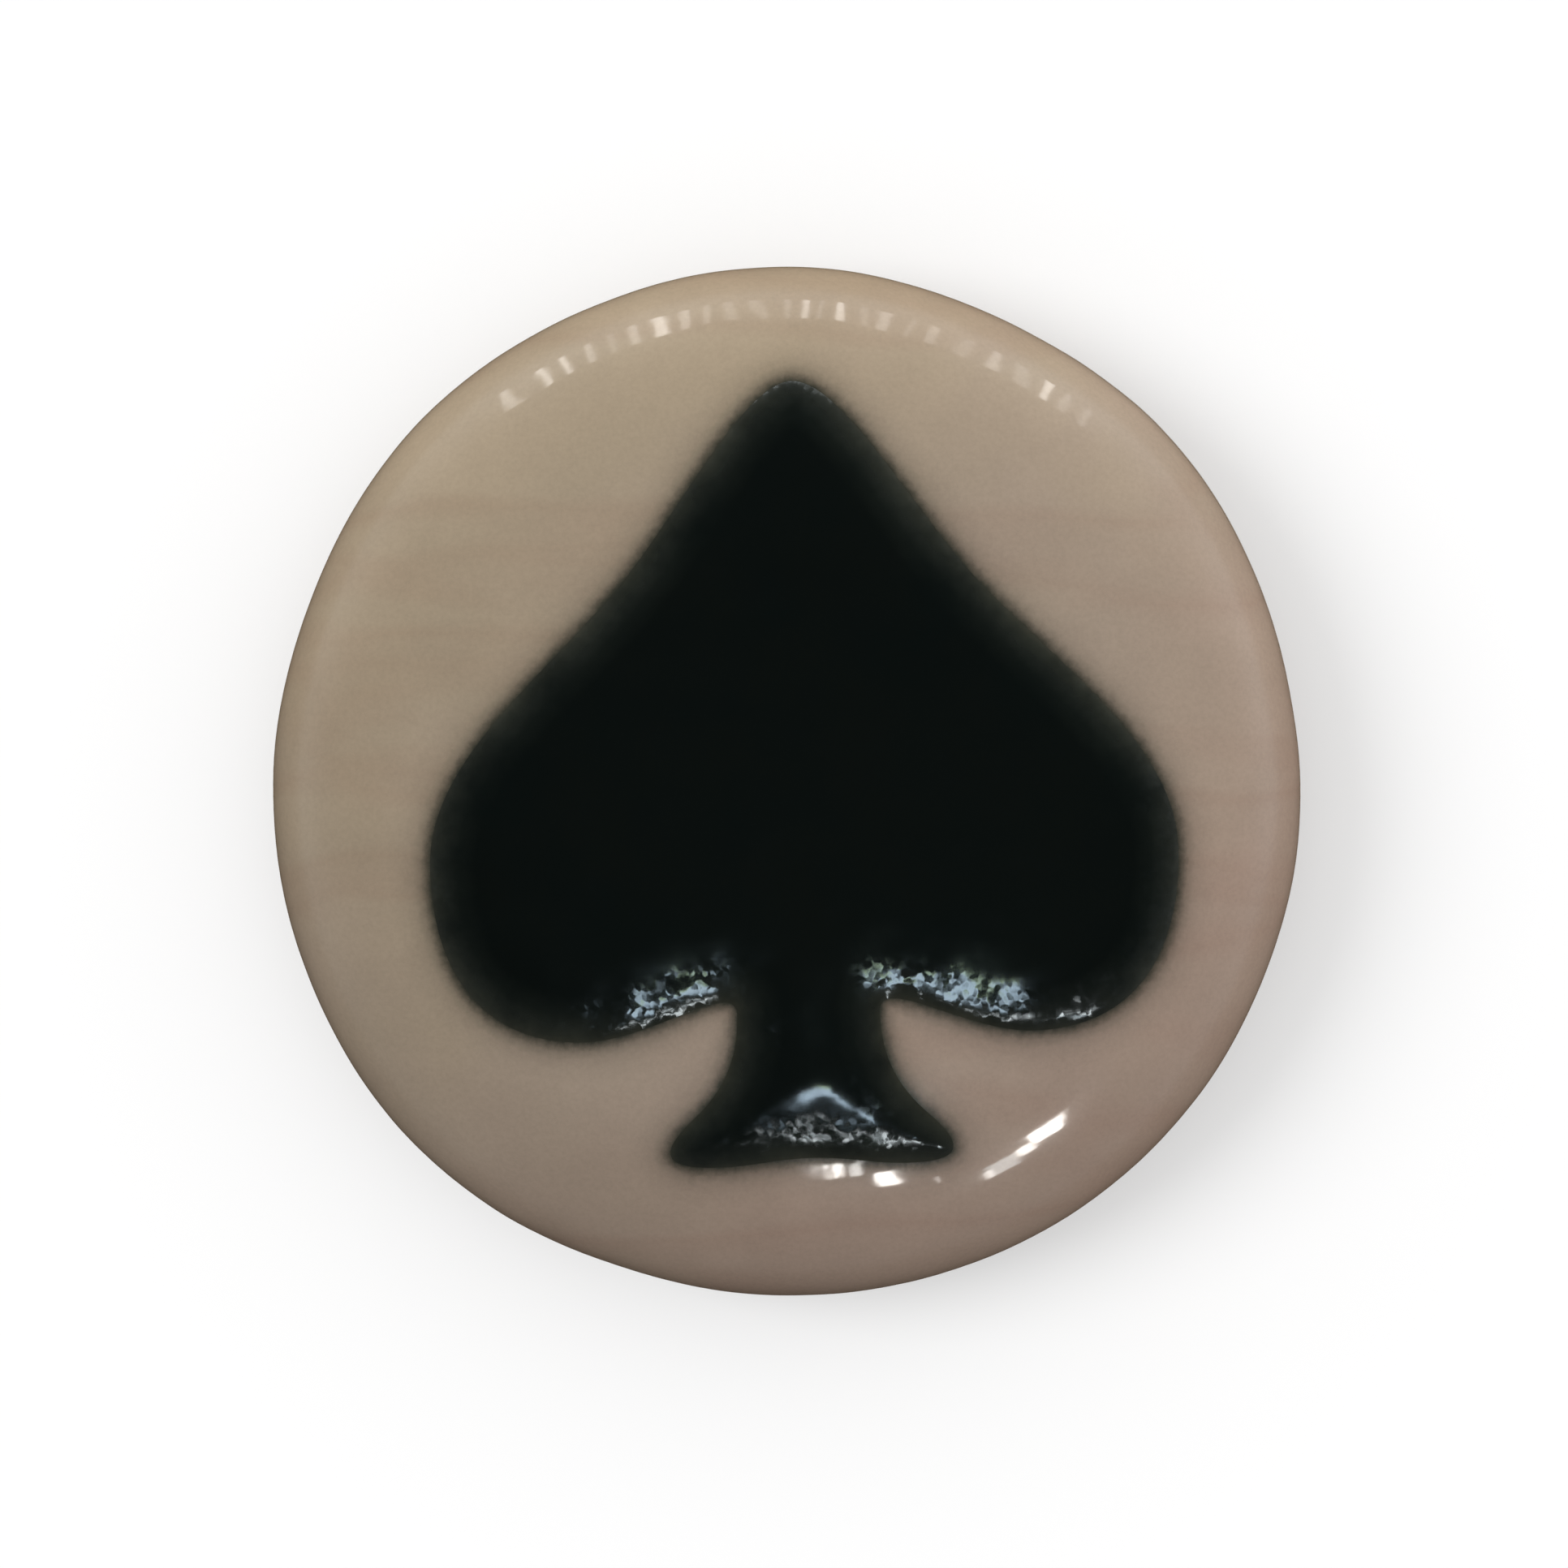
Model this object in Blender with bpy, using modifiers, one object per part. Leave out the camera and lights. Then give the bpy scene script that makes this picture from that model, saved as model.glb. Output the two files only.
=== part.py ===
"""A round dealer button for card and tile games: a pressed, glazed pottery token.

Three pieces lie on one another, as they do in the kiln: a clay body with a bare foot, a coat of
pale gloss glaze over its face and side, and a thick black glaze mark, a spade, that fills a
recess stamped in the clay and stands a little proud of the face.

Metres, +Z up.  The origin is the middle of the foot, on the table, and the spade points to +Y.
"""

import math

import bmesh
import bpy
from mathutils import Vector

# Disc, in metres.
DIAMETER = 0.0400          # mean width at the widest line of the side
HEIGHT = 0.0086            # table to the middle of the glazed face
EDGE_HEIGHT = 0.0038       # table to the widest line of the side
UNDERCUT = 0.0028          # how far the side's curve turns in by the time it reaches the table
FACE_POWER = 5.0           # how late the face turns down to the side: 2 is a dome, 5 a pebble

# Glaze coat.
GLAZE = 0.0004             # thickness of the coat
GLAZE_LINE = 0.0009        # height of the coat's lower edge above the table

# Bare clay foot.
FOOT_INSET = 0.0021        # widest line of the side in to the edge of the foot
FOOT_CHAMFER = 0.00025

# Spade mark.
MARK_WIDTH = 0.0284
MARK_HEIGHT = 0.0298
MARK_SHIFT = Vector((0.0006, 0.0003))   # middle of the mark from the middle of the face
MARK_TILT = math.radians(1.5)           # the mark leans a little to the left
MARK_RISE = 0.00035        # how far the mark stands proud of the glaze
RECESS_DEPTH = 0.0005      # depth of the recess stamped in the clay

CLEARANCE = 0.0002         # gap kept between two pieces that meet

# Slow swells of the hand-pressed outline: waves round the disc, share of the radius, and the
# direction of the first crest in degrees times that number of waves, clockwise from +Y.
SWELLS = (
    (3, 0.0037, -3.0),
    (4, 0.0033, -144.0),
    (6, 0.0014, -60.0),
    (7, 0.0017, 34.0),
    (8, 0.0019, 13.0),
)

# Right half of the spade, from its tip clockwise to the middle of its base, in half widths and
# half heights of the mark: the point, then the handles before and after it.
SPADE_HALF = (
    ((0.00, 1.00), (-0.13, 1.00), (0.13, 1.00)),
    ((0.49, 0.47), (0.32, 0.65), (0.72, 0.23)),
    ((1.00, -0.22), (1.00, 0.04), (1.00, -0.50)),
    ((0.60, -0.67), (0.86, -0.67), (0.42, -0.67)),
    ((0.19, -0.61), (0.19, -0.51), (0.19, -0.72)),
    ((0.31, -0.87), (0.23, -0.80), (0.39, -0.94)),
    ((0.26, -1.00), (0.43, -1.00), (0.16, -1.00)),
    ((0.00, -0.98), (0.10, -0.98), (-0.10, -0.98)),
)

# Fineness of the solids.
TURN_STEPS = 72            # facets round the disc
FACE_STEPS = 10            # rings from the middle of the face to the widest line
SIDE_STEPS = 5             # rings from the widest line to the glaze's lower edge
CURVE_STEPS = 5            # facets between two points of the spade's outline
MERGE = 0.000001           # distance at which turned points on the axis are one point

RADIUS = DIAMETER / 2
FACE_RISE = HEIGHT - EDGE_HEIGHT
WIDEST = math.radians(90)
LOWER_EDGE = WIDEST + math.asin((EDGE_HEIGHT - GLAZE_LINE) / EDGE_HEIGHT)


# ---------------------------------------------------------------- scene and materials

def clear_scene():
    """Remove every object the file opened with."""
    for thing in list(bpy.data.objects):
        bpy.data.objects.remove(thing, do_unlink=True)


def new_collection(name):
    """A collection linked to the scene."""
    made = bpy.data.collections.new(name)
    bpy.context.scene.collection.children.link(made)
    return made


def principled(name, colour, roughness):
    """A plain non-metallic material."""
    made = bpy.data.materials.new(name)
    made.use_nodes = True
    shader = made.node_tree.nodes["Principled BSDF"]
    shader.inputs["Base Color"].default_value = (*colour, 1.0)
    shader.inputs["Roughness"].default_value = roughness
    shader.inputs["Metallic"].default_value = 0.0
    return made


# ---------------------------------------------------------------- the disc's shape

def surface(turn):
    """Point (radius, height) of the glaze's outer surface, and its outward normal.

    The angle is 0 in the middle of the face, 90 degrees at the widest line of the side, and
    more below it.
    """
    if turn <= WIDEST:
        reach = math.sin(turn) ** (2 / FACE_POWER)
        point = Vector((RADIUS * reach, EDGE_HEIGHT + FACE_RISE * math.cos(turn)))
        across = FACE_POWER * reach ** (FACE_POWER - 1) / RADIUS
        up = 2 * math.cos(turn) / FACE_RISE
        return point, Vector((across, up)).normalized()
    under = turn - WIDEST
    inward = UNDERCUT * (1 - math.cos(under))
    point = Vector((RADIUS - inward, EDGE_HEIGHT * (1 - math.sin(under))))
    normal = Vector((math.cos(under) / UNDERCUT, -math.sin(under) / EDGE_HEIGHT))
    return point, normal.normalized()


def layer(turns, depth):
    """Points that lie a depth under the glaze's outer surface, or over it if negative."""
    points = []
    for turn in turns:
        point, normal = surface(turn)
        points.append(point - normal * depth)
    return points


def face_turns():
    """Angles from the middle of the face to the widest line."""
    return [WIDEST * step / FACE_STEPS for step in range(FACE_STEPS + 1)]


def all_turns():
    """Angles from the middle of the face to the glaze's lower edge."""
    under = (LOWER_EDGE - WIDEST) / SIDE_STEPS
    return face_turns() + [WIDEST + under * step for step in range(1, SIDE_STEPS + 1)]


def swell(direction):
    """Share of the mean radius that the outline has in a direction, clockwise from +Y."""
    share = 1.0
    for waves, size, phase in SWELLS:
        share += size * math.cos(waves * direction - math.radians(phase))
    return share


def outline_middle():
    """Middle of the pressed outline's box, which the finished disc is centred on."""
    spots = []
    for step in range(TURN_STEPS):
        direction = 2 * math.pi * step / TURN_STEPS
        reach = RADIUS * swell(direction)
        spots.append((reach * math.sin(direction), reach * math.cos(direction)))
    across, along = zip(*spots)
    return Vector(((min(across) + max(across)) / 2, (min(along) + max(along)) / 2, 0.0))


def press_by_hand(mesh):
    """Move the points of a turned mesh onto the hand-pressed outline."""
    middle = outline_middle()
    for corner in mesh.vertices:
        share = swell(math.atan2(corner.co.x, corner.co.y))
        corner.co = Vector((corner.co.x * share, corner.co.y * share, corner.co.z)) - middle


# ---------------------------------------------------------------- making solids

def as_mesh(source, name):
    """The evaluated shape of an object as a welded mesh; the object itself is removed."""
    depsgraph = bpy.context.evaluated_depsgraph_get()
    mesh = bpy.data.meshes.new_from_object(source.evaluated_get(depsgraph))
    mesh.name = name
    mesh.transform(source.matrix_world)
    bpy.data.objects.remove(source, do_unlink=True)
    welded = bmesh.new()
    welded.from_mesh(mesh)
    bmesh.ops.remove_doubles(welded, verts=welded.verts, dist=MERGE)
    welded.to_mesh(mesh)
    welded.free()
    return mesh


def turned_solid(name, profile, collection):
    """A solid turned about Z from a profile that starts and ends on the axis, then pressed."""
    mesh = bpy.data.meshes.new(name)
    corners = [(point.x, 0.0, point.y) for point in profile]
    mesh.from_pydata(corners, [(i, i + 1) for i in range(len(corners) - 1)], [])
    blank = bpy.data.objects.new(name, mesh)
    collection.objects.link(blank)
    screw = blank.modifiers.new("Turn", "SCREW")
    screw.axis = "Z"
    screw.steps = screw.render_steps = TURN_STEPS
    screw.use_merge_vertices = True
    screw.merge_threshold = MERGE
    turned = as_mesh(blank, name)
    press_by_hand(turned)
    solid = bpy.data.objects.new(name, turned)
    collection.objects.link(solid)
    return solid


def spade_points():
    """The spade's whole outline, its right half mirrored to its left."""
    right = [[Vector(pair) for pair in row] for row in SPADE_HALF]
    flip = Vector((-1, 1))
    left = [[row[0] * flip, row[2] * flip, row[1] * flip] for row in reversed(right[1:-1])]
    return right + left


def spade_prism(name, shrink, collection):
    """A tall upright block with the spade's outline, drawn in by a distance all round."""
    curve = bpy.data.curves.new(name, "CURVE")
    curve.dimensions = "2D"
    curve.fill_mode = "BOTH"
    curve.resolution_u = CURVE_STEPS
    curve.extrude = HEIGHT
    curve.offset = -shrink
    rows = spade_points()
    spline = curve.splines.new("BEZIER")
    spline.bezier_points.add(len(rows) - 1)
    spline.use_cyclic_u = True
    half = Vector((MARK_WIDTH / 2, MARK_HEIGHT / 2))
    for knot, row in zip(spline.bezier_points, rows):
        knot.handle_left_type = knot.handle_right_type = "FREE"
        spot, before, after = (pair * half for pair in row)
        knot.co = spot.to_3d()
        knot.handle_left = before.to_3d()
        knot.handle_right = after.to_3d()
    block = bpy.data.objects.new(name, curve)
    block.location = (*MARK_SHIFT, HEIGHT)
    block.rotation_euler.z = MARK_TILT
    collection.objects.link(block)
    bpy.context.view_layer.update()
    solid = bpy.data.objects.new(name, as_mesh(block, name))
    collection.objects.link(solid)
    return solid


def add_boolean(solid, operation, other):
    """A Boolean modifier with Blender's exact solver."""
    cut = solid.modifiers.new(operation.title(), "BOOLEAN")
    cut.operation = operation
    cut.solver = "EXACT"
    cut.object = other


def hide_cutter(solid):
    """Mark an object as a cutter, which is not part of the model."""
    solid.hide_render = True
    solid.display_type = "WIRE"


def spade_slab(name, shrink, top, floor, collection, cutters):
    """The spade's block between two layers of the disc, given as depths under the glaze."""
    turns = face_turns()
    profile = layer(turns, top) + layer(turns, floor)[::-1]
    sheet = turned_solid(name + "_sheet", profile, cutters)
    hide_cutter(sheet)
    slab = spade_prism(name, shrink, collection)
    add_boolean(slab, "INTERSECT", sheet)
    return slab


def finish_node(solid, material):
    """Give a sub-part its material, and shade its curved faces smooth."""
    solid.data.materials.clear()
    solid.data.materials.append(material)
    solid.data.shade_smooth()
    solid.data.set_sharp_from_angle(angle=math.radians(40))


# ---------------------------------------------------------------- the sub-parts

def make_clay_body(collection, recess):
    """Fired clay core: it fills the coat, carries the stamped recess and stands on its foot."""
    side = layer(all_turns(), GLAZE + CLEARANCE)
    foot_radius = RADIUS - FOOT_INSET
    foot = [
        Vector((foot_radius, FOOT_CHAMFER)),
        Vector((foot_radius - FOOT_CHAMFER, 0.0)),
        Vector((0.0, 0.0)),
    ]
    body = turned_solid("clay_body", side + foot, collection)
    add_boolean(body, "DIFFERENCE", recess)
    finish_node(body, principled("fired_clay", (0.42, 0.30, 0.20), 0.85))
    return body


def make_glaze_coat(collection, recess):
    """Coat of pale gloss glaze, open under the foot and pierced where the mark lies."""
    turns = all_turns()
    profile = layer(turns, 0.0) + layer(turns, GLAZE)[::-1]
    coat = turned_solid("glaze_coat", profile, collection)
    add_boolean(coat, "DIFFERENCE", recess)
    finish_node(coat, principled("beige_glaze", (0.33, 0.26, 0.20), 0.15))
    return coat


def make_face_mark(collection, cutters):
    """Black glaze spade, seated in the recess and proud of the face."""
    floor = GLAZE + RECESS_DEPTH
    mark = spade_slab("face_mark", CLEARANCE, -MARK_RISE, floor, collection, cutters)
    finish_node(mark, principled("black_glaze", (0.004, 0.006, 0.004), 0.25))
    return mark


def make_recess_cutter(cutters):
    """The space that the mark needs, cut from both the coat and the clay."""
    floor = GLAZE + CLEARANCE + RECESS_DEPTH
    recess = spade_slab("recess", 0.0, -2 * MARK_RISE, floor, cutters, cutters)
    hide_cutter(recess)
    return recess


def main():
    clear_scene()
    parts = new_collection("dealer_button")
    cutters = new_collection("cutters")
    recess = make_recess_cutter(cutters)
    make_clay_body(parts, recess)
    make_glaze_coat(parts, recess)
    make_face_mark(parts, cutters)


main()
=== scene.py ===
"""Looks for the dealer button: a pressed, glazed pottery token with a raised black spade.

Every surface is a sheet laid out flat, like a skin, and wrapped over the turned and slightly
uneven disc.  The glaze, the black mark and the clay share that wrapping, so they meet exactly.
Metres, +Z up, the spade's tip towards +Y.
"""

import math

import bmesh
import bpy
import numpy as np
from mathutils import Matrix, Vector
from mathutils.geometry import delaunay_2d_cdt
from mathutils.kdtree import KDTree


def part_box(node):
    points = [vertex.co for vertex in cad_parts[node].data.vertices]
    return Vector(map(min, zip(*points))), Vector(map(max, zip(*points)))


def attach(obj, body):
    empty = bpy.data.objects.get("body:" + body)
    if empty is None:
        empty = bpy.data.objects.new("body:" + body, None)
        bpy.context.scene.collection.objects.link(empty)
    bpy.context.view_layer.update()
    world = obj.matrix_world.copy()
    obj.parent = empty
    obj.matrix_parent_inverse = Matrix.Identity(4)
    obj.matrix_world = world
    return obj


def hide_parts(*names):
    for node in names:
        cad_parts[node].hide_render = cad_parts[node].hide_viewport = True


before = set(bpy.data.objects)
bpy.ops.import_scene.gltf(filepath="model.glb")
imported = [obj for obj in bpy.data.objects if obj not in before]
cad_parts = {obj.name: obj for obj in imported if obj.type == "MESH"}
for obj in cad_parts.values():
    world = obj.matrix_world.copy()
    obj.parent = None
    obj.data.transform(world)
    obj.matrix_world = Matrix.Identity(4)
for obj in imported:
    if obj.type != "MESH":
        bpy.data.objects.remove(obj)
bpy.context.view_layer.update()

MM = 0.001
RIM_POINTS = 720               # corners round the rims of the sheets

# ---------------------------------------------------------------- sizes, read from the frame

GLAZE_LOW, GLAZE_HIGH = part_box("glaze_coat")
MARK_LOW, MARK_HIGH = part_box("face_mark")

# Chosen values that the CAD model has too.
GLAZE = 0.40 * MM              # thickness of the coat
CLEARANCE = 0.20 * MM          # gap between the CAD pieces, which the looks close
MARK_RISE = 0.35 * MM          # how far the mark stands proud
RECESS_DEPTH = 0.50 * MM       # depth of the recess stamped in the clay
MARK_TILT = math.radians(1.5)  # the mark leans a little to the left
EDGE_HEIGHT = 3.8 * MM         # table to the widest line of the side
UNDERCUT = 2.8 * MM            # how far the side's curve turns in by the time it reaches the table
FACE_POWER = 5.0               # how late the face turns down to the side: 2 is a dome, 5 a pebble
FOOT_INSET = 2.1 * MM          # widest line of the side in to the edge of the foot
FOOT_CHAMFER = 0.25 * MM
SWELLS = (                     # waves round the disc, share of the radius, phase in degrees
    (3, 0.0037, -3.0),
    (4, 0.0033, -144.0),
    (6, 0.0014, -60.0),
    (7, 0.0017, 34.0),
    (8, 0.0019, 13.0),
)
SPADE_HALF = (                 # knot, handle before and handle after, right half from the tip
    ((0.00, 1.00), (-0.13, 1.00), (0.13, 1.00)),
    ((0.49, 0.47), (0.32, 0.65), (0.72, 0.23)),
    ((1.00, -0.22), (1.00, 0.04), (1.00, -0.50)),
    ((0.60, -0.67), (0.86, -0.67), (0.42, -0.67)),
    ((0.19, -0.61), (0.19, -0.51), (0.19, -0.72)),
    ((0.31, -0.87), (0.23, -0.80), (0.39, -0.94)),
    ((0.26, -1.00), (0.43, -1.00), (0.16, -1.00)),
    ((0.00, -0.98), (0.10, -0.98), (-0.10, -0.98)),
)

CROWN = MARK_HIGH.z - MARK_RISE  # table to the middle of the glazed face
GLAZE_LINE = GLAZE_LOW.z       # height of the coat's lower edge
BEAD = GLAZE + 0.9 * CLEARANCE  # thickness of the fired coat and of its rolled lower edge
TUCK = 1.0 * MM                # stretch of the coat's inner sheet that is drawn in at its rim
EDGE_STEP = 0.16 * MM          # spacing along the mark's edge and of the finest grid beside it


# ---------------------------------------------------------------- the disc's shape

def swell(direction):
    """Share of the mean radius that the outline has in a direction, clockwise from +Y."""
    share = np.ones_like(direction)
    for waves, size, phase in SWELLS:
        share += size * np.cos(waves * direction - math.radians(phase))
    return share


def outline_box():
    """Low and high corner of the pressed outline, for a mean radius of 1."""
    direction = np.linspace(0, 2 * math.pi, 720, endpoint=False)
    spots = (swell(direction) * np.array([np.sin(direction), np.cos(direction)])).T
    return spots.min(axis=0), spots.max(axis=0)


OUTLINE_LOW, OUTLINE_HIGH = outline_box()
RADIUS = (GLAZE_HIGH.x - GLAZE_LOW.x) / (OUTLINE_HIGH[0] - OUTLINE_LOW[0])
MIDDLE = RADIUS * (OUTLINE_LOW + OUTLINE_HIGH) / 2


class Skin:
    """The side view of a turned surface as a line, read by the distance along it."""

    def __init__(self, radii, heights):
        self.radii = np.array(radii)
        self.heights = np.array(heights)
        steps = np.hypot(np.diff(self.radii), np.diff(self.heights))
        self.along = np.concatenate([[0.0], np.cumsum(steps)])
        self.length = self.along[-1]
        run = np.gradient(self.radii, self.along)
        fall = np.gradient(self.heights, self.along)
        self.out = -fall
        self.up = run

    def at(self, distance):
        """Radius, height and outward normal at distances along the line."""
        read = [self.radii, self.heights, self.out, self.up]
        return [np.interp(distance, self.along, column) for column in read]

    def distance_of(self, radius):
        """Distance along the face at which the surface has a radius."""
        widest = int(np.argmax(self.radii))
        return np.interp(radius, self.radii[:widest], self.along[:widest])


def face_line(steps=400):
    """Radii and heights from the middle of the face to the widest line."""
    turn = np.linspace(0, math.pi / 2, steps)
    radii = RADIUS * np.sin(turn) ** (2 / FACE_POWER)
    radii = np.concatenate([np.linspace(0, radii[1], 40)[:-1], radii[1:]])
    level = 1 - (radii / RADIUS) ** FACE_POWER
    return radii, EDGE_HEIGHT + (CROWN - EDGE_HEIGHT) * np.sqrt(level.clip(0))


def side_line(low, steps=120):
    """Radii and heights from under the widest line down to a height."""
    turn = np.linspace(0, math.asin(1 - low / EDGE_HEIGHT), steps)[1:]
    return RADIUS - UNDERCUT * (1 - np.cos(turn)), EDGE_HEIGHT * (1 - np.sin(turn))


def coat_skin():
    """The glaze's outer surface from the middle of the face to the start of its rolled edge."""
    face, side = face_line(), side_line(GLAZE_LINE + BEAD / 2)
    return Skin(np.append(face[0], side[0]), np.append(face[1], side[1]))


COAT = coat_skin()
ROLL = math.pi * BEAD / 2       # length of skin that goes round the rolled edge


def wrap(flat, radii, heights):
    """Points of the row frame for turned points, pushed onto the uneven outline."""
    direction = np.arctan2(flat[:, 0], flat[:, 1])
    reach = swell(direction) * radii
    across = reach * np.sin(direction) - MIDDLE[0]
    along = reach * np.cos(direction) - MIDDLE[1]
    return np.column_stack([across, along, heights])


def coat_points(flat, lift):
    """The glaze's outer surface and rolled edge, raised along its normal by a lift."""
    distance = np.hypot(*flat.T)
    radius, height, out, up = COAT.at(distance)
    turn = ((distance - COAT.length) / ROLL).clip(0, 1) * math.pi
    sink = BEAD / 2 * (1 - np.cos(turn))
    slide = BEAD / 2 * np.sin(turn)
    radii = radius + out * (lift - sink) + up * slide
    heights = height + up * (lift - sink) - out * slide
    return wrap(flat, radii, heights)


def under_points(flat, depth):
    """Points at a depth under the glaze's outer surface."""
    radius, height, out, up = COAT.at(np.hypot(*flat.T))
    return wrap(flat, radius - out * depth, height - up * depth)


def tucked(flat):
    """The flat sheet drawn in so that its rim reaches only to the start of the rolled edge."""
    distance = np.hypot(*flat.T).clip(1e-9)
    start = COAT.length - TUCK
    share = TUCK / (TUCK + ROLL)
    drawn = np.where(distance > start, start + (distance - start) * share, distance)
    return flat * (drawn / distance)[:, None]


def foot_skin():
    """The bare clay's line, from the middle of the foot out and up to where the coat covers it."""
    foot = RADIUS - FOOT_INSET
    corner = 1.6 * FOOT_CHAMFER
    turn = np.linspace(0, math.pi / 2, 12)
    radii = [foot - corner + corner * np.sin(turn)]
    heights = [corner * (1 - np.cos(turn))]
    radius, height, out, up = COAT.at(COAT.length)
    join = np.array([radius, height]) - (GLAZE + CLEARANCE) * np.array([out, up])
    rise = np.linspace(0, 1, 12)[1:]
    radii.append(foot + (join[0] - foot) * rise ** 1.6)
    heights.append(corner + (join[1] - corner) * rise)
    base = np.linspace(0, foot - corner, 60)[:-1]
    return Skin(np.concatenate([base, *radii]), np.concatenate([np.zeros_like(base), *heights]))


FOOT = foot_skin()


def foot_points(flat, sink):
    """Points of the bare clay, sunk into it by a depth."""
    radius, height, out, up = FOOT.at(np.hypot(*flat.T))
    return wrap(flat, radius + out * sink, height + up * sink)


# ---------------------------------------------------------------- the spade's outline

def bezier(start, leave, arrive, end, count):
    """Points along one cubic stretch, without its last."""
    t = np.linspace(0, 1, count, endpoint=False)[:, None]
    back = 1 - t
    return back ** 3 * start + 3 * back ** 2 * t * leave + 3 * back * t ** 2 * arrive + t ** 3 * end


def spade_unit(fine=60):
    """Closed outline of the spade in half widths and half heights."""
    right = [np.array(row) for row in SPADE_HALF]
    flip = np.array([-1, 1])
    left = [row[[0, 2, 1]] * flip for row in reversed(right[1:-1])]
    knots = right + left
    pieces = []
    for here, there in zip(knots, knots[1:] + knots[:1]):
        pieces.append(bezier(here[0], here[2], there[1], there[0], fine))
    return np.concatenate(pieces)


def even_loop(points, spacing):
    """The same closed line with points an even distance apart."""
    closed = np.vstack([points, points[:1]])
    along = np.concatenate([[0], np.cumsum(np.hypot(*np.diff(closed, axis=0).T))])
    count = round(along[-1] / spacing)
    marks = np.linspace(0, along[-1], count, endpoint=False)
    return np.column_stack([np.interp(marks, along, closed[:, axis]) for axis in (0, 1)])


def spade_outline():
    """The mark's edge in the row frame: the CAD mark's box, widened by the gap round it."""
    low = np.array(MARK_LOW.xy) - CLEARANCE
    high = np.array(MARK_HIGH.xy) + CLEARANCE
    lean = np.array([[math.cos(MARK_TILT), -math.sin(MARK_TILT)],
                     [math.sin(MARK_TILT), math.cos(MARK_TILT)]])
    half = (high - low) / 2
    for _ in range(2):
        turned = (spade_unit() * half) @ lean.T
        half = half * (high - low) / np.ptp(turned, axis=0)
    return turned - (turned.min(axis=0) + turned.max(axis=0)) / 2 + (low + high) / 2


def lay_flat(points):
    """Where points of the face lie on the flat skin."""
    pressed = points + MIDDLE
    direction = np.arctan2(pressed[:, 0], pressed[:, 1])
    distance = COAT.distance_of(np.hypot(*pressed.T) / swell(direction))
    return np.column_stack([distance * np.sin(direction), distance * np.cos(direction)])


EDGE = even_loop(lay_flat(spade_outline()), EDGE_STEP)


def edge_tree(spacing=0.02 * MM):
    """Close points along the mark's edge for looking up the nearest, and the way out at each."""
    line = even_loop(EDGE, spacing)
    run = np.roll(line, -1, axis=0) - np.roll(line, 1, axis=0)
    tree = KDTree(len(line))
    for number, (across, along) in enumerate(line):
        tree.insert((across, along, 0.0), number)
    tree.balance()
    return tree, np.column_stack([-run[:, 1], run[:, 0]])


EDGE_TREE, EDGE_OUT = edge_tree()


def from_edge(flat):
    """Distance of flat points from the mark's edge, below 0 inside the mark."""
    found = [EDGE_TREE.find((across, along, 0.0)) for across, along in flat]
    spots = np.array([near[0][:2] for near in found])
    numbers = np.array([near[1] for near in found])
    away = np.array([near[2] for near in found])
    side = ((flat - spots) * EDGE_OUT[numbers]).sum(axis=1)
    return np.where(side < 0, -away, away)


# ---------------------------------------------------------------- uneven surfaces

def ripple(points, wavelength, seed):
    """Smooth uneven field of about -1 to 1: plane waves in seeded random directions."""
    draw = np.random.default_rng(seed)
    waves = 14
    heading = draw.uniform(0, 2 * math.pi, waves)
    length = wavelength * draw.uniform(0.7, 1.5, waves)
    phase = draw.uniform(0, 2 * math.pi, waves)
    pull = 2 * math.pi / length * np.array([np.cos(heading), np.sin(heading)])
    return np.sin(points @ pull + phase).sum(axis=1) / math.sqrt(waves / 2) / 2


def fade(value, start, end):
    """Smooth step from 0 at start to 1 at end."""
    t = ((value - start) / (end - start)).clip(0, 1)
    return t * t * (3 - 2 * t)


def coat_lift(flat):
    """Height of the fired glaze over its plain shape: slow waves, and a fat lower edge."""
    distance = np.hypot(*flat.T)
    slow = 0.030 * MM * ripple(flat, 11 * MM, 3) + 0.010 * MM * ripple(flat, 4 * MM, 5)
    to_roll = COAT.length - distance
    fat = 0.07 * MM * np.exp(-(to_roll / (0.8 * MM)) ** 2) * fade(to_roll, -ROLL, 0)
    return slow * fade(to_roll, 0, 2 * MM) + fat


def mark_lift(flat):
    """Height of the black glaze over the plain face: a soft edge and a pillowed middle."""
    depth = (-from_edge(flat)).clip(0)
    edge = 0.09 * MM * (1 - np.exp(-depth / (0.30 * MM)))
    pillow = (MARK_RISE - 0.13 * MM) * np.sin((depth / (3.2 * MM)).clip(0, 1) * math.pi / 2)
    lumps = 0.022 * MM * ripple(flat, 3.5 * MM, 8) + 0.006 * MM * ripple(flat, 1.2 * MM, 9)
    return coat_lift(flat) * fade(-depth, -0.8 * MM, 0) + edge + pillow + lumps * fade(depth, 0, 1 * MM)


def foot_sink(flat):
    """Depth of the worn grain and the small pits of the bare clay."""
    grain = 0.016 * MM * np.abs(ripple(flat, 0.9 * MM, 21))
    grain += 0.010 * MM * np.abs(ripple(flat, 0.5 * MM, 22))
    pits = 0.07 * MM * fade(ripple(flat, 1.3 * MM, 23), 0.75, 1.2)
    wave = 0.020 * MM * (1 + ripple(flat, 9 * MM, 24)).clip(0)
    return (grain + pits + wave) * fade(FOOT.length - np.hypot(*flat.T), 0, 0.5 * MM)


# ---------------------------------------------------------------- meshes

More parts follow.
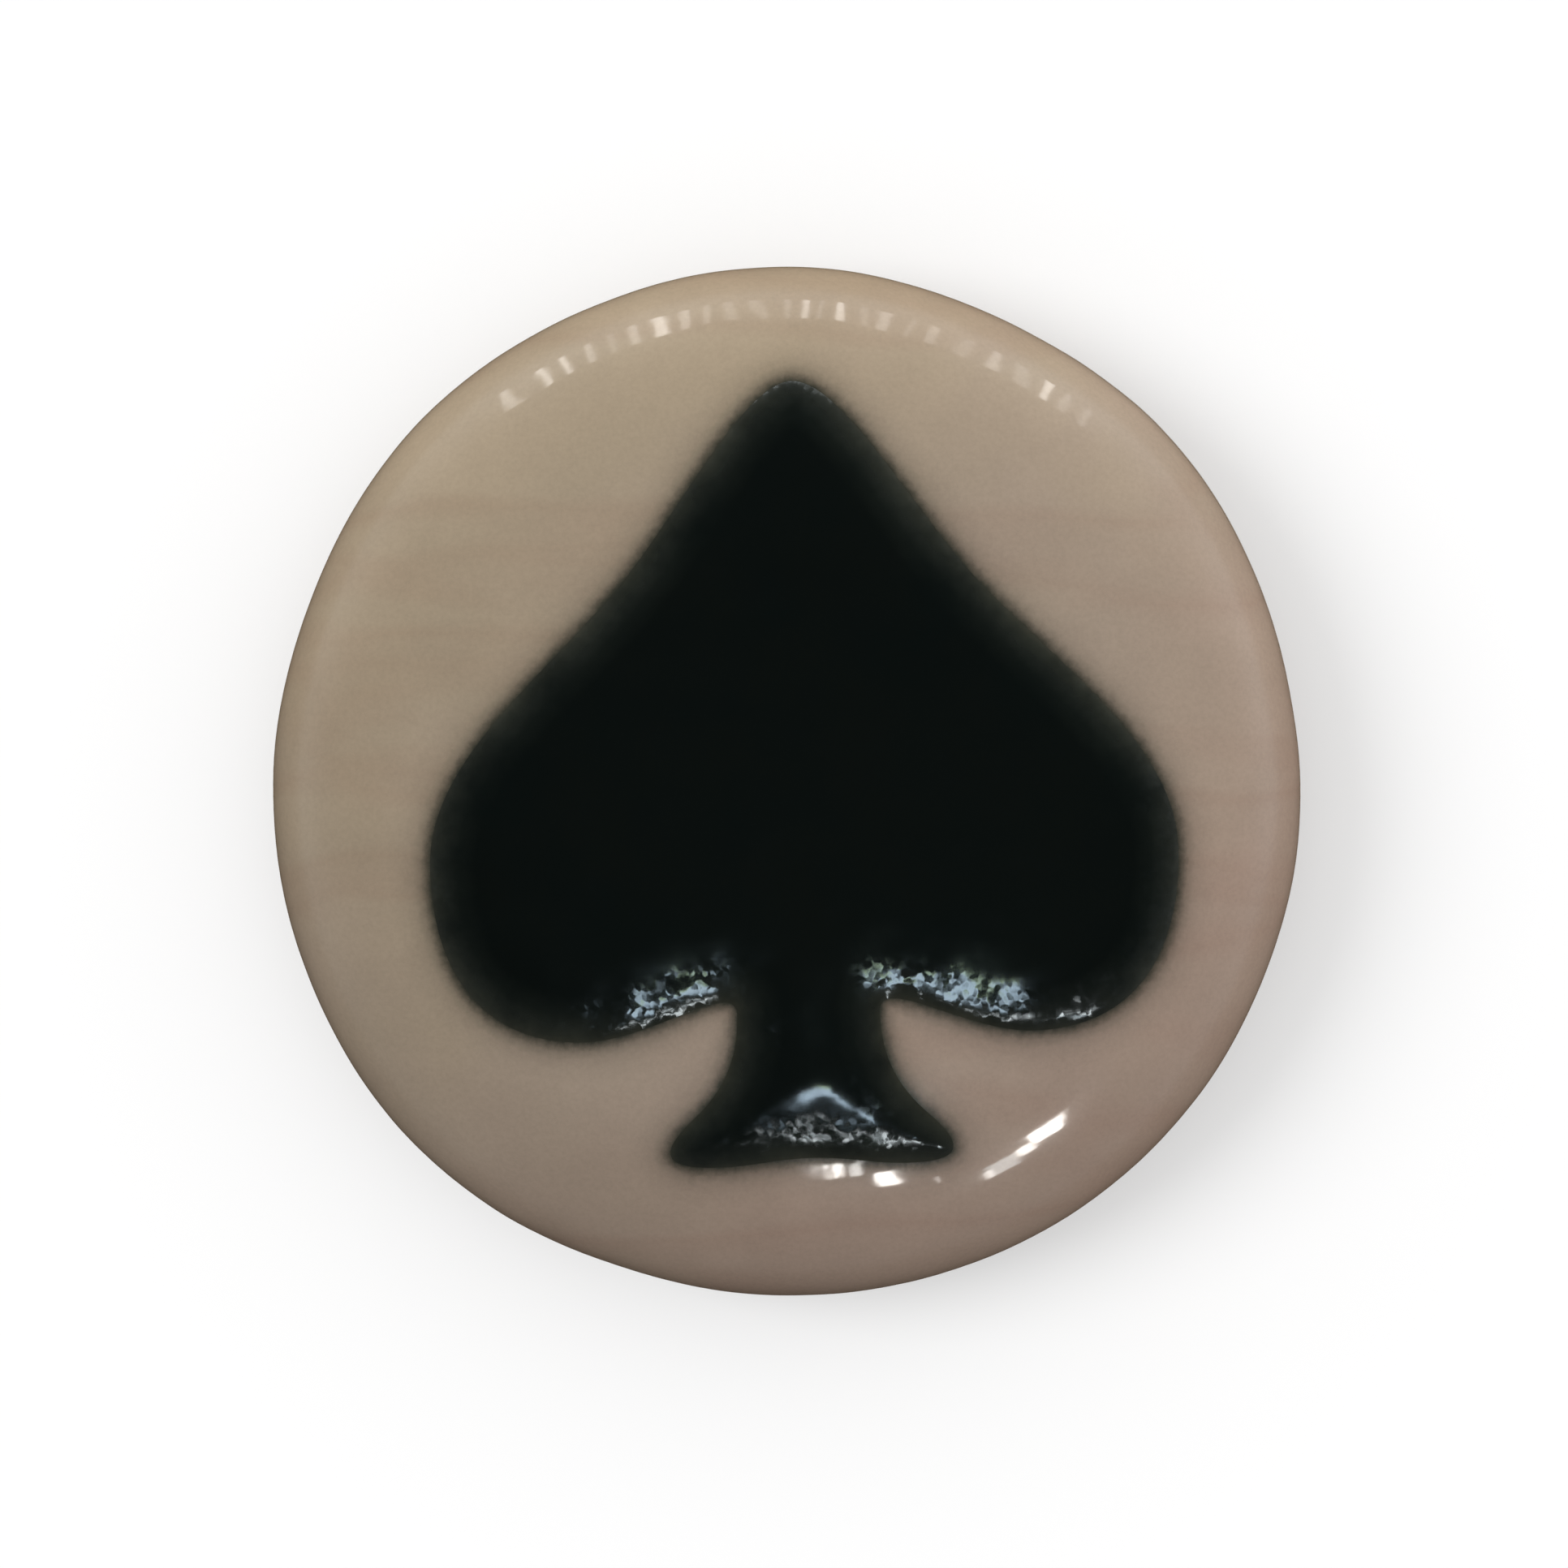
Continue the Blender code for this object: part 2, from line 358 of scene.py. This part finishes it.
def graded_spots(reach, finest, coarseness):
    """Points of a triangular grid inside a circle, thinned to every coarseness-th where asked."""
    count = int(1.6 * reach / finest) + 2   # the rows slant, so they need more than the reach
    column, row = np.meshgrid(np.arange(-count, count + 1), np.arange(-count, count + 1))
    column, row = column.ravel(), row.ravel()
    spots = finest * np.column_stack([column + row * 0.5, row * math.sqrt(3) / 2])
    near = np.hypot(*spots.T) < reach
    column, row, spots = column[near], row[near], spots[near]
    level = coarseness(spots)
    return spots[(column % level == 0) & (row % level == 0)]


def ring(radius, count=RIM_POINTS):
    """Points round a circle."""
    turn = np.linspace(0, 2 * math.pi, count, endpoint=False)
    return radius * np.column_stack([np.sin(turn), np.cos(turn)])


def triangulate(spots, loops):
    """Triangles over flat points, with every loop's line kept as edges."""
    points, edges = list(spots), []
    for loop in loops:
        first, count = len(points), len(loop)
        points += list(loop)
        edges += [(first + i, first + (i + 1) % count) for i in range(count)]
    scaled = [Vector(point) / MM for point in points]
    made = delaunay_2d_cdt(scaled, edges, [], 0, 1e-5)
    flat = np.array([corner[:] for corner in made[0]]) * MM
    return flat, np.array(made[2])


def keep_used(flat, triangles):
    """Only the points that a triangle uses, and the triangles renumbered."""
    used, numbers = np.unique(triangles, return_inverse=True)
    return flat[used], numbers.reshape(triangles.shape)


def finish_mesh(name, points, faces, fields):
    """A clean smooth mesh with its vertex fields, without unused or double corners."""
    mesh = bpy.data.meshes.new(name)
    mesh.from_pydata(points.tolist(), [], [tuple(face) for face in faces])
    for title, values in fields.items():
        field = mesh.attributes.new(title, "FLOAT", "POINT")
        field.data.foreach_set("value", values.astype(np.float32))
    tidy = bmesh.new()
    tidy.from_mesh(mesh)
    bmesh.ops.delete(tidy, geom=[v for v in tidy.verts if not v.link_faces], context="VERTS")
    bmesh.ops.remove_doubles(tidy, verts=tidy.verts, dist=1e-7)
    bmesh.ops.recalc_face_normals(tidy, faces=tidy.faces)
    tidy.to_mesh(mesh)
    tidy.free()
    mesh.shade_smooth()
    mesh.set_sharp_from_angle(angle=math.radians(50))
    return mesh


def rim_wall(triangles, step):
    """Faces from the rims of a sheet to the same rims of the sheet numbered step higher."""
    around = {(t[i], t[(i + 1) % 3]) for t in triangles.tolist() for i in range(3)}
    rims = sorted((a, b) for a, b in around if (b, a) not in around)
    return [(b, a, a + step, b + step) for a, b in rims]


def closed_shell(name, top, bottom, triangles, fields):
    """Closed mesh of two matching sheets and a wall along each rim, with its vertex fields."""
    count = len(top)
    faces = triangles.tolist() + (triangles[:, ::-1] + count).tolist() + rim_wall(triangles, count)
    doubled = {title: np.tile(values, 2) for title, values in fields.items()}
    return finish_mesh(name, np.vstack([top, bottom]), faces, doubled)


def add_piece(mesh, node, material):
    """Show a mesh in place of a CAD node."""
    piece = bpy.data.objects.new(mesh.name, mesh)
    bpy.context.scene.collection.objects.link(piece)
    mesh.materials.append(material)
    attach(piece, "root")
    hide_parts(node)


def face_sheet():
    """Flat triangles of the whole coat, fine along the mark's edge, split into coat and mark."""
    reach = COAT.length + ROLL

    def coarseness(spots):
        gap = np.abs(from_edge(spots))
        return np.where(gap < 1.0 * MM, 1, 2)

    spots = graded_spots(reach - EDGE_STEP / 2, EDGE_STEP, coarseness)
    spots = spots[np.abs(from_edge(spots)) > 0.07 * MM]
    flat, triangles = triangulate(spots, [EDGE, ring(reach)])
    inside = from_edge(flat[triangles].mean(axis=1)) < 0
    return keep_used(flat, triangles[~inside]), keep_used(flat, triangles[inside])


def stamped_top(flat, triangles, lowest):
    """Faces of the clay's covered top: sunk inside the mark, with a wall along its edge."""
    inside = from_edge(flat[triangles].mean(axis=1)) < 0
    upper, lower = triangles[~inside], triangles[inside] + lowest
    return upper.tolist() + lower.tolist() + rim_wall(triangles[inside], lowest)


def clay_shell():
    """The clay body: its covered top with the stamped recess, its bare side and its foot."""
    grid = graded_spots(COAT.length - 0.4 * MM, 0.8 * MM, lambda spots: 1)
    grid = grid[np.abs(from_edge(grid)) > 0.4 * MM]
    top, top_faces = triangulate(grid, [EDGE, ring(COAT.length)])
    high = under_points(top, GLAZE + CLEARANCE)
    low = under_points(top, GLAZE + CLEARANCE + RECESS_DEPTH)
    faces = stamped_top(top, top_faces, len(top))

    def coarseness(spots):
        return np.where(np.hypot(*spots.T) > FOOT.length - 3 * MM, 1, 2)

    grid = graded_spots(FOOT.length - 0.08 * MM, 0.13 * MM, coarseness)
    foot, foot_faces = triangulate(grid, [ring(FOOT.length)])
    faces += (foot_faces[:, ::-1] + 2 * len(top)).tolist()
    points = np.vstack([high, low, foot_points(foot, foot_sink(foot))])
    return finish_mesh("clay_core", points, faces, {})


# ---------------------------------------------------------------- materials

def new_material(name):
    """A new material with its node tree and its Principled shader."""
    material = bpy.data.materials.new(name)
    material.use_nodes = True
    tree = material.node_tree
    shader = tree.nodes["Principled BSDF"]
    return material, tree, shader


def add_node(tree, kind, inputs=None, **settings):
    """A node with its settings and inputs; an input is a number, a tuple or another socket."""
    node = tree.nodes.new(kind)
    for key, value in settings.items():
        setattr(node, key, value)
    for key, value in (inputs or {}).items():
        if isinstance(value, bpy.types.NodeSocket):
            tree.links.new(value, node.inputs[key])
        else:
            node.inputs[key].default_value = value
    return node


def compute(tree, operation, *values):
    """Result of a Math node."""
    node = add_node(tree, "ShaderNodeMath", dict(enumerate(values)), operation=operation)
    return node.outputs["Value"]


def compute_vector(tree, operation, *values, result="Vector"):
    """Result of a Vector Math node."""
    node = add_node(tree, "ShaderNodeVectorMath", dict(enumerate(values)), operation=operation)
    return node.outputs[result]


def object_space(tree):
    """Place on the piece, in metres of the row frame."""
    return add_node(tree, "ShaderNodeTexCoord").outputs["Object"]


def colour(red, green, blue):
    """Linear colour of an sRGB value from 0 to 255."""
    def linear(value):
        share = value / 255
        return share / 12.92 if share <= 0.04045 else ((share + 0.055) / 1.055) ** 2.4
    return (linear(red), linear(green), linear(blue), 1.0)


def add_ramp(tree, factor, stops):
    """A colour ramp over (position, colour) stops; its colour output."""
    node = add_node(tree, "ShaderNodeValToRGB", {"Fac": factor})
    ramp = node.color_ramp
    while len(ramp.elements) < len(stops):
        ramp.elements.new(1.0)
    for element, (position, shade) in zip(ramp.elements, stops):
        element.position = position
        element.color = shade
    return node.outputs["Color"]


def mix_colours(tree, factor, first, second, blend="MIX"):
    """Two colours mixed; a factor of 1 gives the second."""
    node = add_node(tree, "ShaderNodeMix", data_type="RGBA", blend_type=blend)
    slots = {"Factor": 0, "A": 6, "B": 7}
    for key, value in (("Factor", factor), ("A", first), ("B", second)):
        socket = node.inputs[slots[key]]
        if isinstance(value, bpy.types.NodeSocket):
            tree.links.new(value, socket)
        else:
            socket.default_value = value
    return node.outputs[2]


def noise(tree, scale, detail=2.0, roughness=0.5, stretch=(1, 1, 1), seed=0.0):
    """Noise over object space, in cells per metre, moved along by its seed."""
    moved = add_node(tree, "ShaderNodeMapping", {
        "Vector": object_space(tree), "Scale": stretch, "Location": (seed, seed * 0.7, 0.0),
    })
    node = add_node(tree, "ShaderNodeTexNoise", {
        "Vector": moved.outputs["Vector"], "Scale": scale, "Detail": detail,
        "Roughness": roughness,
    })
    return node.outputs["Fac"]


def grey(value):
    """A neutral linear colour, for multiplying and for factors."""
    return (value, value, value, 1.0)


def from_mark(tree, side):
    """Way from the mark's ragged edge in shares of 2 mm: side 1 out over the coat, -1 inwards."""
    gap = add_node(tree, "ShaderNodeAttribute", attribute_name="from_mark").outputs["Fac"]
    ragged = compute(tree, "MULTIPLY_ADD", noise(tree, 2400, 3, 0.7, seed=9.0), 0.30, -0.15)
    return compute(tree, "MULTIPLY", compute(tree, "ADD", gap, ragged), 0.5 * side)


def beige_glaze():
    """Warm beige gloss glaze: yellower up left, pinker down right, streaked, grey by the mark."""
    material, tree, shader = new_material("beige_gloss_glaze")
    side = compute_vector(tree, "DOT_PRODUCT", object_space(tree), (18.0, -18.0, 0.0), result="Value")
    drift = add_ramp(tree, compute(tree, "ADD", side, noise(tree, 60, 3, seed=0.31)), [
        (0.15, colour(159, 144, 123)), (0.50, colour(158, 142, 126)), (0.85, colour(159, 139, 125)),
    ])
    cloud = add_ramp(tree, noise(tree, 260, 4, 0.6, seed=1.7), [
        (0.30, grey(0.95)), (0.70, grey(1.04)),
    ])
    toned = mix_colours(tree, 1.0, drift, cloud, "MULTIPLY")
    streak = add_ramp(tree, noise(tree, 60, 3, 0.5, (0.45, 2.6, 1), 2.3), [
        (0.43, grey(1.0)), (0.50, (0.93, 0.88, 0.87, 1)), (0.56, grey(1.0)),
    ])
    veined = mix_colours(tree, 0.6, toned, streak, "MULTIPLY")
    speck = add_ramp(tree, noise(tree, 5200, 3, 0.7, seed=4.2), [
        (0.30, grey(0.93)), (0.65, grey(1.03)),
    ])
    grained = mix_colours(tree, 1.0, veined, speck, "MULTIPLY")
    bleed = add_ramp(tree, from_mark(tree, 1), [
        (0.00, grey(1.0)), (0.09, grey(0.78)), (0.20, grey(0.45)), (0.34, grey(0.22)),
        (0.55, grey(0.08)), (0.85, grey(0.0)),
    ])
    ground = mix_colours(tree, bleed, grained, colour(50, 50, 42))
    tree.links.new(ground, shader.inputs["Base Color"])
    gloss = add_ramp(tree, noise(tree, 420, 3, 0.6, seed=6.4), [
        (0.3, grey(0.040)), (0.7, grey(0.070)),
    ])
    tree.links.new(gloss, shader.inputs["Roughness"])
    shader.inputs["IOR"].default_value = 1.5
    # The coat layer only gives the highlights a faint haze.
    shader.inputs["Coat Weight"].default_value = 0.35
    shader.inputs["Coat Roughness"].default_value = 0.24
    peel = add_node(tree, "ShaderNodeBump", {
        "Height": noise(tree, 900, 2, 0.5, seed=3.3), "Strength": 0.25, "Distance": 0.012 * MM,
    })
    tree.links.new(peel.outputs["Normal"], shader.inputs["Normal"])
    return material


def tilt_flakes(tree, facing, amount, size, tilt):
    """A normal tipped a little at random in every cell of a size, as on a skin of crystals."""
    place = object_space(tree)
    bend = add_node(tree, "ShaderNodeTexNoise", {"Vector": place, "Scale": 0.7 / size})
    bent = compute_vector(tree, "MULTIPLY_ADD", bend.outputs["Color"], (size, size, size), place)
    flake = add_node(tree, "ShaderNodeTexVoronoi", {
        "Vector": bent, "Scale": 1 / size, "Randomness": 1.0, "Smoothness": 0.35,
    }, feature="SMOOTH_F1").outputs["Color"]
    centred = compute_vector(tree, "SUBTRACT", flake, (0.5, 0.5, 0.5))
    lean = compute(tree, "MULTIPLY", amount, 2 * tilt)
    tip = add_node(tree, "ShaderNodeVectorMath", {0: centred, "Scale": lean}, operation="SCALE")
    tipped = compute_vector(tree, "ADD", tip.outputs["Vector"], facing)
    return compute_vector(tree, "NORMALIZE", tipped)


def black_glaze():
    """Thick green-black glaze with a fine crystalline skin, greyer at its edge where it thins; that
    grey band is also a painted reflection of the sloped edge's sheen.
    """
    material, tree, shader = new_material("black_crystal_glaze")
    depth = from_mark(tree, -1)
    # Painted reflection: the grey band running about 2 mm in from the mark's edge stands partly for the
    # sheen its sloped, pillowed edge mirrors, and partly for the glaze thinning there.
    base = add_ramp(tree, depth, [
        (0.00, colour(50, 50, 42)), (0.10, colour(41, 43, 37)), (0.30, colour(31, 34, 30)),
        (0.55, colour(18, 22, 19)), (0.90, colour(9, 13, 11)),
    ])
    patch = add_ramp(tree, noise(tree, 300, 4, 0.6, seed=5.1), [(0.40, grey(0.0)), (0.70, grey(0.7))])
    dark = mix_colours(tree, patch, base, colour(7, 12, 11))
    tree.links.new(dark, shader.inputs["Base Color"])
    crystals = add_ramp(tree, depth, [(0.0, grey(1.0)), (0.7, grey(0.8)), (1.0, grey(0.12))])
    facing = add_node(tree, "ShaderNodeNewGeometry").outputs["Normal"]
    for size, tilt in ((0.60 * MM, 0.035), (0.24 * MM, 0.035)):
        facing = tilt_flakes(tree, facing, crystals, size, tilt)
    tree.links.new(facing, shader.inputs["Normal"])
    shader.inputs["Roughness"].default_value = 0.12
    shader.inputs["IOR"].default_value = 1.5
    shader.inputs["Specular Tint"].default_value = (0.80, 0.92, 1.0, 1.0)
    return material


def fired_clay():
    """Unglazed buff stoneware: sandy, with dark grog specks, browner beside the coat."""
    material, tree, shader = new_material("fired_buff_clay")
    body = add_ramp(tree, noise(tree, 140, 4, 0.6, seed=0.9), [
        (0.30, colour(176, 146, 114)), (0.70, colour(192, 164, 132)),
    ])
    sand = add_ramp(tree, noise(tree, 4200, 4, 0.75, seed=2.1), [
        (0.25, grey(0.80)), (0.75, grey(1.12)),
    ])
    sandy = mix_colours(tree, 1.0, body, sand, "MULTIPLY")
    place = object_space(tree)
    height = add_node(tree, "ShaderNodeSeparateXYZ", {"Vector": place}).outputs["Z"]
    # Darker and browner towards the top of the bare band, just under the coat's rolled edge.
    rise = add_node(tree, "ShaderNodeMapRange", {
        "Value": height, "From Min": 0.6 * MM, "From Max": 1.2 * MM,
    }).outputs["Result"]
    browner_near_coat = mix_colours(tree, rise, sandy, colour(134, 96, 66))
    grog = add_node(tree, "ShaderNodeTexVoronoi", {
        "Vector": place, "Scale": 1300.0, "Randomness": 1.0,
    }, feature="F1")
    spots = add_ramp(tree, grog.outputs["Distance"], [(0.10, grey(1.0)), (0.16, grey(0.0))])
    speckled = mix_colours(tree, spots, browner_near_coat, colour(92, 66, 46))
    tree.links.new(speckled, shader.inputs["Base Color"])
    bump = add_node(tree, "ShaderNodeBump", {
        "Height": noise(tree, 5200, 5, 0.75, seed=8.8), "Strength": 0.8, "Distance": 0.05 * MM,
    })
    tree.links.new(bump.outputs["Normal"], shader.inputs["Normal"])
    shader.inputs["Roughness"].default_value = 0.88
    return material


# ---------------------------------------------------------------- pieces

def make_button():
    """The coat and the black mark, cut from one flat sheet along the mark's edge, and the clay."""
    (coat, coat_faces), (mark, mark_faces) = face_sheet()
    outer, inner = coat_points(coat, coat_lift(coat)), under_points(tucked(coat), BEAD)
    shell = closed_shell("glazed_surface", outer, inner, coat_faces,
                         {"from_mark": from_edge(coat) / MM})
    add_piece(shell, "glaze_coat", beige_glaze())
    top, bottom = coat_points(mark, mark_lift(mark)), under_points(mark, BEAD + RECESS_DEPTH)
    block = closed_shell("spade_mark", top, bottom, mark_faces, {"from_mark": from_edge(mark) / MM})
    add_piece(block, "face_mark", black_glaze())
    add_piece(clay_shell(), "clay_body", fired_clay())


# ---------------------------------------------------------------- studio

WIDTH_OF_VIEW = 61.0 * MM       # width of the picture at the disc's widest line
LENS = 100.0                    # a long lens, in millimetres
SENSOR = 36.0                   # width of the sensor, in millimetres
FLOOR_RADIUS = 0.30
LAMP_DISTANCE = 0.40            # from the face to each small lamp
STRIPS = 25                     # the row of lights that the rim mirrors as an arc of dashes
STRIP_STEP = 3.0                # degrees from one strip to the next
FIRST_STRIP = -34               # degrees, clockwise from the spade's tip
STRIP_SHARE = 0.905             # where the dashes lie, as a share of the radius
STRIP_TALL = 17                 # degrees
CAMERA_PLACE = Vector((-0.09 * MM, -0.12 * MM, EDGE_HEIGHT + WIDTH_OF_VIEW * LENS / SENSOR))
WARM = (1.0, 0.96, 0.91)


def make_floor():
    """A pale plain table; it isn't mirrored in the button and throws no light on it."""
    shape = bmesh.new()
    bmesh.ops.create_circle(shape, cap_ends=True, segments=96, radius=FLOOR_RADIUS)
    mesh = bpy.data.meshes.new("floor")
    shape.to_mesh(mesh)
    shape.free()
    floor = bpy.data.objects.new("floor", mesh)
    bpy.context.scene.collection.objects.link(floor)
    floor.visible_glossy = False
    floor.visible_diffuse = False
    material, _, shader = new_material("white_table")
    shader.inputs["Base Color"].default_value = (0.6, 0.6, 0.6, 1)
    shader.inputs["Roughness"].default_value = 0.9
    shader.inputs["Specular IOR Level"].default_value = 0.0
    shader.inputs["Emission Color"].default_value = (1, 1, 1, 1)
    shader.inputs["Emission Strength"].default_value = 0.36
    mesh.materials.append(material)
    return floor


def aim(thing, target):
    """Point a light's or camera's -Z at a point."""
    thing.rotation_euler = (target - thing.location).to_track_quat("-Z", "Y").to_euler()


def add_area(name, lit, place, target, size, power, tint=(1, 1, 1), glossy=False):
    """A rectangular soft light that lights one collection, and shows in gloss only if asked."""
    lamp = bpy.data.lights.new(name, "AREA")
    lamp.shape = "RECTANGLE"
    lamp.size, lamp.size_y = size
    lamp.energy = power
    lamp.color = tint
    light = bpy.data.objects.new(name, lamp)
    light.location = place
    bpy.context.scene.collection.objects.link(light)
    aim(light, target)
    light.visible_camera = False
    light.visible_glossy = glossy
    light.light_linking.receiver_collection = lit


def add_sun(name, lit, way, spread, strength):
    """A soft light of even strength everywhere, from a direction; spread is an angle in degrees."""
    lamp = bpy.data.lights.new(name, "SUN")
    lamp.angle = math.radians(spread)
    lamp.energy = strength
    light = bpy.data.objects.new(name, lamp)
    light.location = way
    bpy.context.scene.collection.objects.link(light)
    aim(light, Vector((0, 0, 0)))
    light.visible_glossy = False
    light.light_linking.receiver_collection = lit


def add_glint(name, lit, turn, share, wide, tall, brightness, tint):
    """A small light placed so that the plain face mirrors it to the camera at one spot.

    The spot's turn is clockwise from +Y and its share is of the radius.  The turn and the light's
    apparent width and height are in degrees.
    """
    distance = COAT.distance_of(share * RADIUS)
    radius, height, out, up = COAT.at(distance)
    heading = Vector((math.sin(math.radians(turn)), math.cos(math.radians(turn)), 0.0))
    spot = heading * radius + Vector((0.0, 0.0, height))
    normal = (heading * out + Vector((0.0, 0.0, up))).normalized()
    view = (CAMERA_PLACE - spot).normalized()
    way = 2 * normal.dot(view) * normal - view
    size = [2 * LAMP_DISTANCE * math.tan(math.radians(angle) / 2) for angle in (wide, tall)]
    power = brightness * math.pi * size[0] * size[1]
    add_area(name, lit, spot + way * LAMP_DISTANCE, spot, size, power, tint, glossy=True)


LAMPS = (                       # turn, share, wide, tall, brightness, tint
    # Two dots, a larger one and a faint one.
    (174.4, 0.752, 0.5, 3.4, 45, WARM),
    (171.2, 0.754, 1.2, 3.4, 15, (1.0, 1.0, 0.97)),
    (165.6, 0.780, 1.9, 5.0, 34, WARM),
    (159.2, 0.806, 0.5, 3.0, 9, WARM),
    # The long streak at the lower right.
    (150.6, 0.834, 3.8, 6.0, 8, (0.95, 1.0, 1.0)),
    (153.0, 0.838, 0.6, 4.0, 20, WARM),
    (147.0, 0.828, 1.4, 4.0, 26, WARM),
    (144.4, 0.818, 2.0, 5.0, 38, WARM),
    (142.6, 0.812, 0.6, 3.0, 16, WARM),
    # Two cold ones for the glints on the black.
    (170.0, 0.660, 5.0, 6.0, 16, (0.80, 0.91, 1.0)),
    (166.0, 0.620, 1.5, 2.0, 20, (0.85, 1.0, 0.55)),
)


def light_group(name, floor, state):
    """A collection that says whether lights reach only the floor or all but the floor."""
    group = bpy.data.collections.new(name)
    group.objects.link(floor)
    group.collection_objects[0].light_linking.link_state = state
    return group


def make_lights(floor):
    """On the button a key beyond the spade's tip, fills, strips and small lamps; table lights."""
    button = light_group("button_lights", floor, "EXCLUDE")
    table = light_group("table_lights", floor, "INCLUDE")
    middle = Vector((0, 0, CROWN / 2))
    add_area("key", button, middle + Vector((0.0, 0.52, 0.06)), middle, (1.0, 0.3), 3.85,
             (1.0, 0.98, 0.95))
    add_area("right_fill", button, middle + Vector((0.57, 0.05, 0.06)), middle, (0.4, 0.3), 1.6)
    add_area("left_fill", button, middle + Vector((-0.57, 0.05, 0.06)), middle, (0.4, 0.3), 1.4)
    add_area("top_fill", button, middle + Vector((0.0, 0.0, 0.7)), middle, (0.8, 0.8), 3.3)
    add_sun("table_top", table, Vector((-0.1, 0.1, 1.0)), 150, 2.2)
    add_sun("table_left", table, Vector((-1.0, 0.14, 1.0)), 32, 1.3)
    draw = np.random.default_rng(11)
    for step in range(STRIPS):
        turn = FIRST_STRIP + step * STRIP_STEP + draw.uniform(-0.5, 0.5)
        wide = draw.uniform(0.7, 1.4)
        brightness = 1.5 + 7.0 * draw.uniform(0, 1) ** 1.8
        add_glint(f"strip_{step:02d}", button, turn, STRIP_SHARE, wide, STRIP_TALL, brightness, WARM)
    for number, lamp in enumerate(LAMPS):
        add_glint(f"lamp_{number}", button, *lamp)


def make_world():
    """Surround: white to the camera; as light, a low band, stronger beyond the spade's tip."""
    world = bpy.data.worlds.new("studio")
    bpy.context.scene.world = world
    world.use_nodes = True
    tree = world.node_tree
    back = tree.nodes["Background"]
    place = add_node(tree, "ShaderNodeTexCoord").outputs["Generated"]
    height = add_node(tree, "ShaderNodeSeparateXYZ", {"Vector": place}).outputs["Z"]
    band = add_ramp(tree, compute(tree, "MULTIPLY_ADD", height, 0.5, 0.5), [
        (0.45, (0.22, 0.16, 0.11, 1)), (0.54, grey(0.75)), (0.65, grey(0.6)), (0.80, grey(0.25)),
        (0.92, grey(0.05)),
    ])
    side = compute_vector(tree, "DOT_PRODUCT", place, (0.10, 0.34, 0.0), result="Value")
    lit = mix_colours(tree, 1.0, band, compute(tree, "ADD", side, 0.47), "MULTIPLY")
    path = add_node(tree, "ShaderNodeLightPath").outputs["Is Camera Ray"]
    seen = mix_colours(tree, path, lit, (1, 1, 1, 1))
    tree.links.new(seen, back.inputs["Color"])


def make_camera():
    """Straight down on the face, with the spade's tip to the top of the picture."""
    lens = bpy.data.cameras.new("camera")
    lens.sensor_width = SENSOR
    lens.lens = LENS
    lens.clip_start = 0.01
    lens.clip_end = 10.0
    camera = bpy.data.objects.new("camera", lens)
    camera.location = CAMERA_PLACE
    bpy.context.scene.collection.objects.link(camera)
    bpy.context.scene.camera = camera


make_button()
make_lights(make_floor())
make_world()
make_camera()

scene = bpy.context.scene
scene.view_settings.view_transform = "Standard"
scene.view_settings.look = "None"
